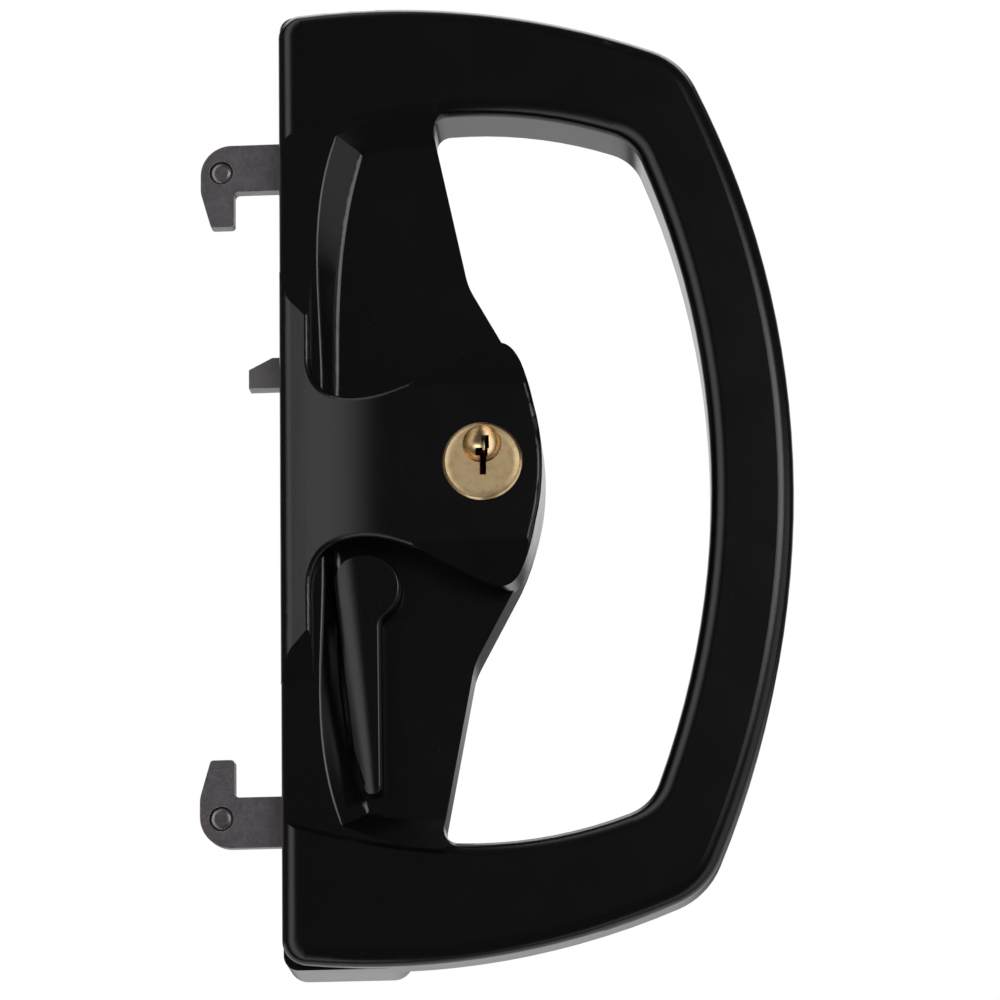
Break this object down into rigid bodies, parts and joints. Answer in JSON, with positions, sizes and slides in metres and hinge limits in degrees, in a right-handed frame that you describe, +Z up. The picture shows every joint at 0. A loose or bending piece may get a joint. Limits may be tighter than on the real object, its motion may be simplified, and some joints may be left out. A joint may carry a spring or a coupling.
{
  "type": "sliding door lock",
  "caption": "D-shaped pull handle and lock for a sliding door, with swinging hooks out of one edge, a thumb lever, a key cylinder and a spring trigger.",
  "frame": {"origin": "on the face that meets the door, on the line through both fixing bolts, midway between them", "axes": "+X from the fixing line towards the grip, +Y into the door, +Z up the handle"},
  "size_m": [0.1223, 0.0303, 0.202],
  "materials": {
    "black_paint": "smooth satin black powder coat",
    "hook_steel": "pressed, nickel plated, slightly mottled",
    "hard_steel": "hardened, ground",
    "zinc_steel": "zinc plated pressing",
    "brass": "turned brass, fine scratches",
    "trigger_steel": "nickel plated, satin",
    "spring_steel": "drawn spring wire"
  },
  "bodies": {
    "case": {"handle_casting": "black_paint", "back_plate": "zinc_steel", "back_plate_screws": "zinc_steel", "fixing_pillars": "zinc_steel", "hook_pivots": "hard_steel", "slide_guide_pins": "hard_steel", "lever_washer": "hard_steel", "cylinder_body": "brass", "chamber_cover": "brass", "cylinder_clip": "spring_steel", "driver_pins": "brass", "pin_springs": "spring_steel", "deadlock_guide": "zinc_steel", "trigger_spring": "spring_steel"},
    "lever": {"snib_lever": "black_paint", "lever_spindle": "hard_steel", "crank_arm": "zinc_steel", "crank_pins": "hard_steel", "lever_screw": "zinc_steel"},
    "upper_hook_body": {"upper_hook": "hook_steel", "upper_hook_insert": "hard_steel", "upper_drive_pin": "hard_steel"},
    "lower_hook_body": {"lower_hook": "hook_steel", "lower_hook_insert": "hard_steel", "lower_drive_pin": "hard_steel"},
    "upper_slide_body": {"upper_slide": "zinc_steel"},
    "lower_slide_body": {"lower_slide": "zinc_steel"},
    "plug": {"cylinder_plug": "brass", "key_pins": "brass", "plug_cam": "zinc_steel", "cam_screw": "zinc_steel"},
    "deadlock": {"deadlock_bolt": "hard_steel"},
    "trigger_body": {"trigger": "trigger_steel"}
  },
  "joints": [
    {"name": "lever_turn", "type": "hinge", "parent": "case", "child": "lever", "pos_m": [0.0065, -0.02, -0.024], "axis": [0, -1, 0], "range_deg": [0, 36]},
    {"name": "upper_slide_move", "type": "slide", "parent": "case", "child": "upper_slide_body", "axis": [0, 0, -1], "range_m": [0, 0.0066]},
    {"name": "lower_slide_move", "type": "slide", "parent": "case", "child": "lower_slide_body", "axis": [0, 0, 1], "range_m": [0, 0.0066]},
    {"name": "upper_hook_swing", "type": "hinge", "parent": "case", "child": "upper_hook_body", "pos_m": [0, -0.01, 0.05], "axis": [0, 1, 0], "range_deg": [0, 60.2]},
    {"name": "lower_hook_swing", "type": "hinge", "parent": "case", "child": "lower_hook_body", "pos_m": [0, -0.01, -0.05], "axis": [0, -1, 0], "range_deg": [0, 60.2]},
    {"name": "plug_turn", "type": "hinge", "parent": "case", "child": "plug", "pos_m": [0.0308, -0.02, 0], "axis": [0, -1, 0], "range_deg": [0, 90]},
    {"name": "deadlock_move", "type": "slide", "parent": "case", "child": "deadlock", "axis": [-1, 0, 0], "range_m": [0, 0.00401]},
    {"name": "trigger_press", "type": "slide", "parent": "case", "child": "trigger_body", "axis": [1, 0, 0], "range_m": [0, 0.006], "stiffness_N_per_m": 300, "springref_m": -0.003, "deforming": ["trigger_spring"]}
  ],
  "couplings": [
    {"joint": "upper_slide_move", "follows": "lever_turn", "m_per_rad": 0.010345},
    {"joint": "lower_slide_move", "follows": "lever_turn", "m_per_rad": 0.010345},
    {"joint": "upper_hook_swing", "follows": "lever_turn", "ratio": 1.6667},
    {"joint": "lower_hook_swing", "follows": "lever_turn", "ratio": 1.6667},
    {"joint": "deadlock_move", "follows": "plug_turn", "m_per_rad": 0.0025465}
  ]
}
